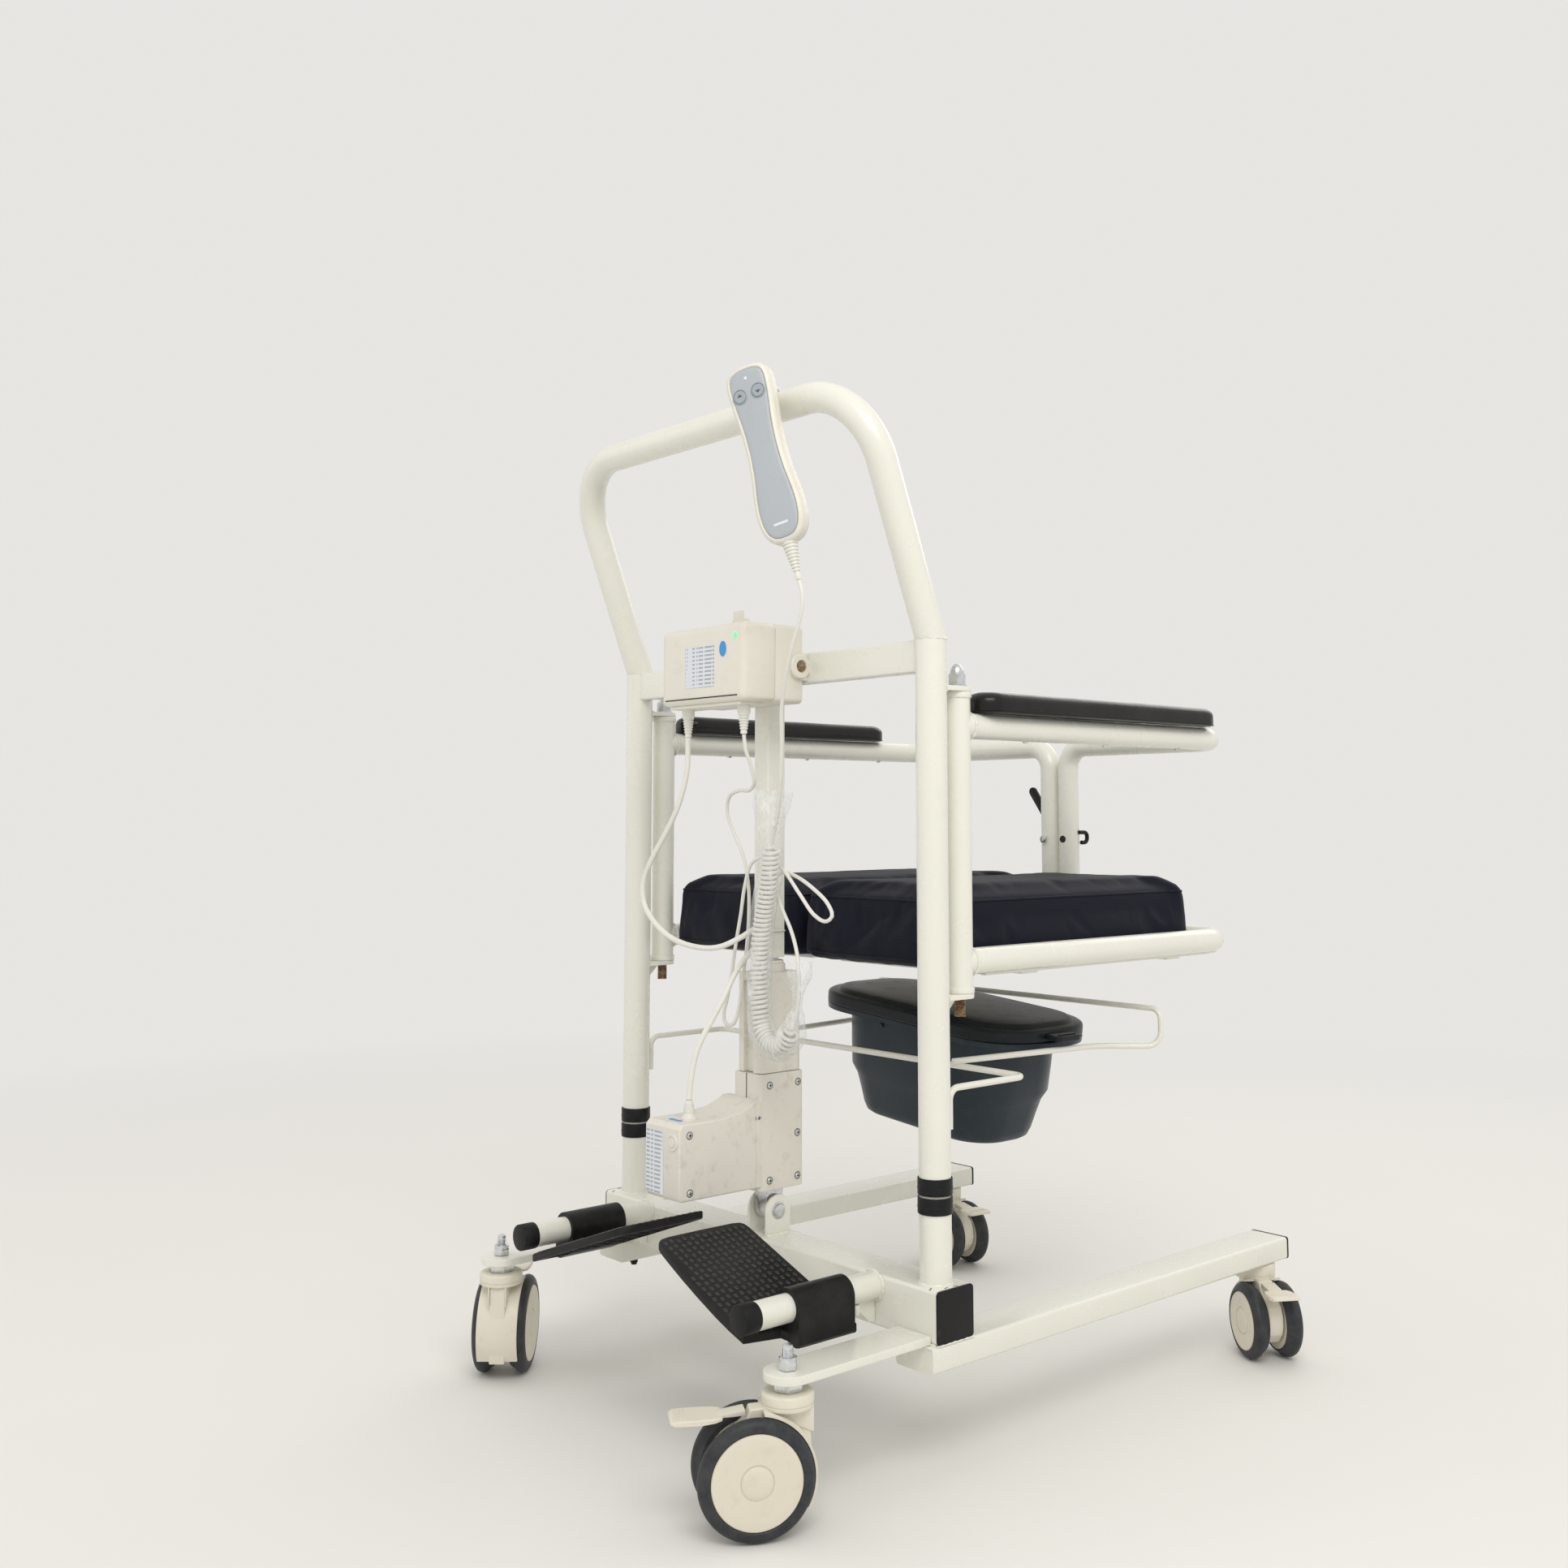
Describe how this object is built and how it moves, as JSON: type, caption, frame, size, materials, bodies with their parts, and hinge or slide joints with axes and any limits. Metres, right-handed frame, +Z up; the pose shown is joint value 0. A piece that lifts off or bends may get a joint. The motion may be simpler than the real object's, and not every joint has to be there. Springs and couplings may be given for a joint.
{
  "type": "electric patient lift chair",
  "caption": "Mobile patient lift with a split swing-open commode seat, linear actuator, push handle, flip-up footplates and braked twin-wheel casters.",
  "frame": {"origin": "on the floor under the middle of the chair's bounding box, cables left out", "axes": "+Z up, -Y towards the front with the footplates and motor, +X to the side where the handset hangs"},
  "size_m": [0.8148, 1.0245, 1.3032],
  "materials": {
    "white_paint": "gloss powder coat",
    "cream_plastic": "smooth moulded",
    "black_plastic": "moulded",
    "black_rubber": "smooth",
    "tyre_grey": "solid tread",
    "steel": "plain",
    "pad_black": "semi gloss skin",
    "navy_fabric": "coated fabric",
    "slate_plastic": "satin moulded",
    "cable_white": "smooth sheath",
    "button_grey": "satin"
  },
  "bodies": {
    "base": {"base_cross_beam": "white_paint", "actuator_pin": "steel", "motor_housing": "cream_plastic", "actuator_outer_tube": "cream_plastic", "base_leg_left": "white_paint", "lower_post_left": "white_paint", "foot_tube_left": "white_paint", "beam_end_cap_left": "black_plastic", "foot_tube_cap_left": "black_rubber", "lower_collar_left": "black_plastic", "base_leg_right": "white_paint", "lower_post_right": "white_paint", "foot_tube_right": "white_paint", "beam_end_cap_right": "black_plastic", "foot_tube_cap_right": "black_rubber", "lower_collar_right": "black_plastic"},
    "lift": {"crossbar_and_column": "white_paint", "handle_tube": "white_paint", "actuator_rod": "steel", "control_box_cover": "cream_plastic", "control_box_back": "cream_plastic", "motor_plug": "cable_white", "handset_plug": "cable_white", "bucket_rail": "white_paint", "handset_cable_upper": "cable_white", "handset_cable_coil": "cable_white", "handset_cable_lower": "cable_white", "motor_cable": "cable_white", "upright_left": "white_paint", "upper_collar_left": "black_plastic", "hinge_bolt_left": "steel", "upright_right": "white_paint", "upper_collar_right": "black_plastic", "hinge_bolt_right": "steel"},
    "swing_left": {"swing_frame_left": "white_paint", "armrest_pad_left": "pad_black", "seat_cushion_left": "navy_fabric"},
    "tread_left": {"footplate_left": "black_plastic"},
    "swing_right": {"swing_frame_right": "white_paint", "armrest_pad_right": "pad_black", "seat_cushion_right": "navy_fabric"},
    "tread_right": {"footplate_right": "black_plastic"},
    "latch": {"latch_lever": "black_plastic"},
    "front_left_swivel": {"caster_front_left_fork": "cream_plastic"},
    "front_left_axle": {"caster_front_left_wheels": "tyre_grey"},
    "front_left_brake": {"caster_front_left_pedal": "cream_plastic"},
    "front_right_swivel": {"caster_front_right_fork": "cream_plastic"},
    "front_right_axle": {"caster_front_right_wheels": "tyre_grey"},
    "front_right_brake": {"caster_front_right_pedal": "cream_plastic"},
    "rear_left_swivel": {"caster_rear_left_fork": "cream_plastic"},
    "rear_left_axle": {"caster_rear_left_wheels": "tyre_grey"},
    "rear_left_brake": {"caster_rear_left_pedal": "cream_plastic"},
    "rear_right_swivel": {"caster_rear_right_fork": "cream_plastic"},
    "rear_right_axle": {"caster_rear_right_wheels": "tyre_grey"},
    "rear_right_brake": {"caster_rear_right_pedal": "cream_plastic"},
    "handset": {"handset_body": "cream_plastic"},
    "button_up": {"handset_button_up": "button_grey"},
    "button_down": {"handset_button_down": "button_grey"},
    "pan": {"bucket": "slate_plastic"},
    "pan_lid": {"bucket_lid": "black_plastic"}
  },
  "joints": [
    {"name": "lift_slide", "type": "slide", "parent": "base", "child": "lift", "axis": [0, 0, 1], "range_m": [0, 0.25], "deforming": ["motor_cable"]},
    {"name": "swing_left_hinge", "type": "hinge", "parent": "lift", "child": "swing_left", "pos_m": [-0.3041, -0.1258, 0.72], "axis": [0, 0, 1], "range_deg": [0, 100]},
    {"name": "footplate_left_hinge", "type": "hinge", "parent": "base", "child": "tread_left", "pos_m": [-0.2311, -0.2908, 0.2], "axis": [0, -1, 0], "range_deg": [0, 88]},
    {"name": "swing_right_hinge", "type": "hinge", "parent": "lift", "child": "swing_right", "pos_m": [0.3059, -0.1258, 0.72], "axis": [0, 0, -1], "range_deg": [0, 100]},
    {"name": "footplate_right_hinge", "type": "hinge", "parent": "base", "child": "tread_right", "pos_m": [0.2329, -0.2908, 0.2], "axis": [0, 1, 0], "range_deg": [0, 88]},
    {"name": "latch_lever_hinge", "type": "hinge", "parent": "swing_left", "child": "latch", "pos_m": [-0.0171, 0.4467, 0.717], "axis": [0, -1, 0], "range_deg": [0, 50]},
    {"name": "front_left_swivel_turn", "type": "hinge", "parent": "base", "child": "front_left_swivel", "pos_m": [-0.2991, -0.3918, 0.12], "axis": [0, 0, 1], "continuous": true},
    {"name": "front_left_wheel_spin", "type": "hinge", "parent": "front_left_swivel", "child": "front_left_axle", "pos_m": [-0.32734, -0.36637, 0.0625], "axis": [-0.6691, -0.7431, 0], "continuous": true},
    {"name": "front_left_brake_tilt", "type": "hinge", "parent": "front_left_swivel", "child": "front_left_brake", "pos_m": [-0.33626, -0.35834, 0.1275], "axis": [-0.6691, -0.7431, 0], "range_deg": [0, 10]},
    {"name": "front_right_swivel_turn", "type": "hinge", "parent": "base", "child": "front_right_swivel", "pos_m": [0.3009, -0.3918, 0.12], "axis": [0, 0, 1], "continuous": true},
    {"name": "front_right_wheel_spin", "type": "hinge", "parent": "front_right_swivel", "child": "front_right_axle", "pos_m": [0.2819, -0.42471, 0.0625], "axis": [0.866, -0.5, 0], "continuous": true},
    {"name": "front_right_brake_tilt", "type": "hinge", "parent": "front_right_swivel", "child": "front_right_brake", "pos_m": [0.2759, -0.4351, 0.1275], "axis": [0.866, -0.5, 0], "range_deg": [0, 10]},
    {"name": "rear_left_swivel_turn", "type": "hinge", "parent": "base", "child": "rear_left_swivel", "pos_m": [-0.3061, 0.4722, 0.11], "axis": [0, 0, 1], "continuous": true},
    {"name": "rear_left_wheel_spin", "type": "hinge", "parent": "rear_left_swivel", "child": "rear_left_axle", "pos_m": [-0.27449, 0.46725, 0.05], "axis": [0.1547, 0.988, 0], "continuous": true},
    {"name": "rear_left_brake_tilt", "type": "hinge", "parent": "rear_left_swivel", "child": "rear_left_brake", "pos_m": [-0.26263, 0.46539, 0.1025], "axis": [0.1547, 0.988, 0], "range_deg": [0, 10]},
    {"name": "rear_right_swivel_turn", "type": "hinge", "parent": "base", "child": "rear_right_swivel", "pos_m": [0.3079, 0.4722, 0.11], "axis": [0, 0, 1], "continuous": true},
    {"name": "rear_right_wheel_spin", "type": "hinge", "parent": "rear_right_swivel", "child": "rear_right_axle", "pos_m": [0.33507, 0.45529, 0.05], "axis": [0.5284, 0.849, 0], "continuous": true},
    {"name": "rear_right_brake_tilt", "type": "hinge", "parent": "rear_right_swivel", "child": "rear_right_brake", "pos_m": [0.34525, 0.44895, 0.1025], "axis": [0.5284, 0.849, 0], "range_deg": [0, 10]},
    {"name": "handset_unhook", "type": "slide", "parent": "lift", "child": "handset", "axis": [0, 0, 1], "range_m": [0, 0.03], "deforming": ["handset_cable_upper"]},
    {"name": "button_up_press", "type": "slide", "parent": "handset", "child": "button_up", "axis": [-0.4067, 0.9135, 0], "range_m": [0, 0.001], "stiffness_N_per_m": 300},
    {"name": "button_down_press", "type": "slide", "parent": "handset", "child": "button_down", "axis": [-0.4067, 0.9135, 0], "range_m": [0, 0.001], "stiffness_N_per_m": 300},
    {"name": "bucket_lift_out", "type": "slide", "parent": "lift", "child": "pan", "axis": [0, 0, 1], "range_m": [0, 0.03]},
    {"name": "lid_lift_off", "type": "slide", "parent": "pan", "child": "pan_lid", "axis": [0, 0, 1], "range_m": [0, 0.02]}
  ]
}
